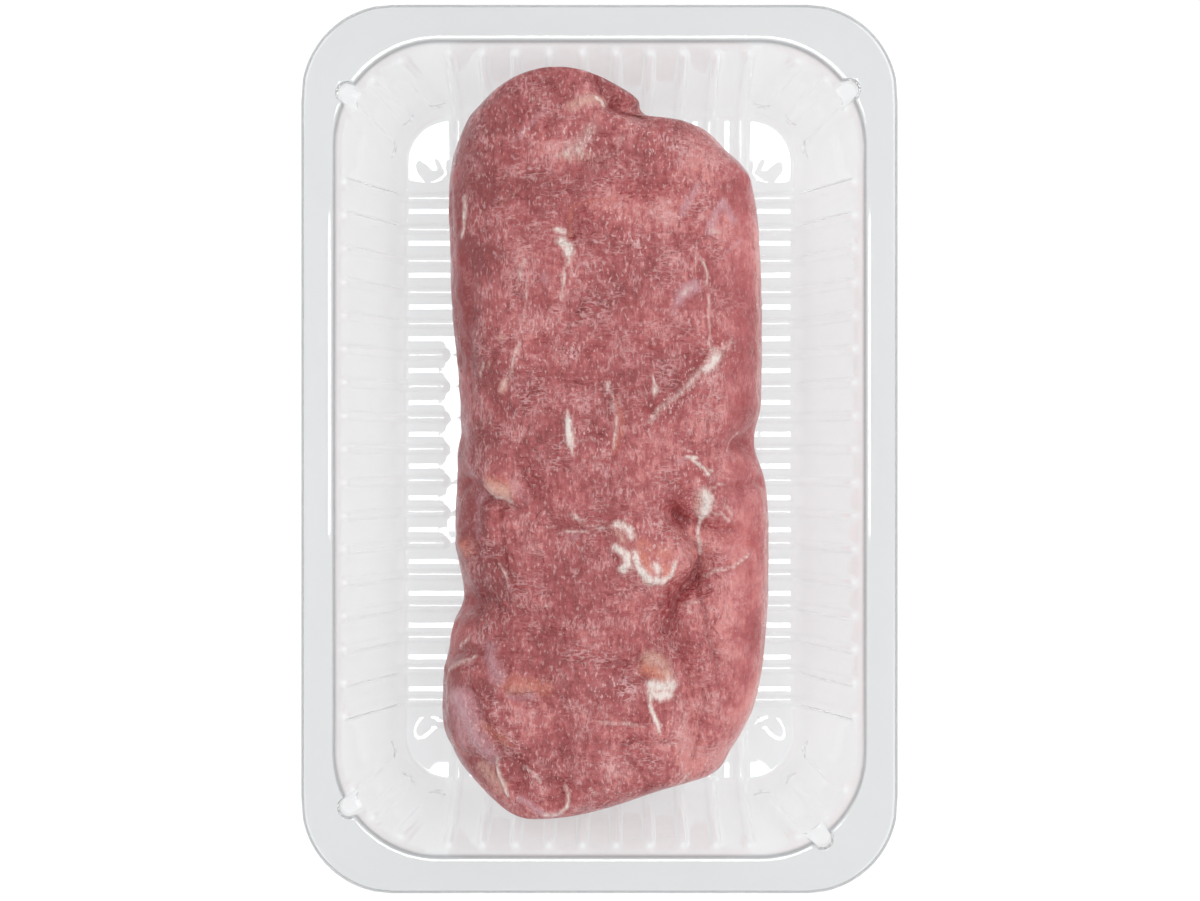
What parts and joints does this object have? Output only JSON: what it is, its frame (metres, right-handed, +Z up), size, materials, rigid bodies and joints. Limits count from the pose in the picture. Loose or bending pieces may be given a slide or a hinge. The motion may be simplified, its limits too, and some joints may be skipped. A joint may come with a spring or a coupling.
{
  "type": "meat tray pack",
  "caption": "Clear ribbed plastic food tray, open at the top, with one long piece of raw pork lying in it.",
  "frame": {"origin": "centre of the tray's flat underside, on the surface that it stands on", "axes": "+Z up through the open mouth, +Y along the tray towards the meat's narrower lobe, +X across it"},
  "size_m": [0.178, 0.265, 0.05],
  "materials": {
    "clear_plastic": "clear thermoformed sheet, smooth and glossy on both faces",
    "raw_pork": "moist raw meat with fine grain, small wet highlights, pale fat and thin white membrane"
  },
  "bodies": {
    "root": {"tray": "clear_plastic", "meat": "raw_pork"}
  },
  "joints": []
}
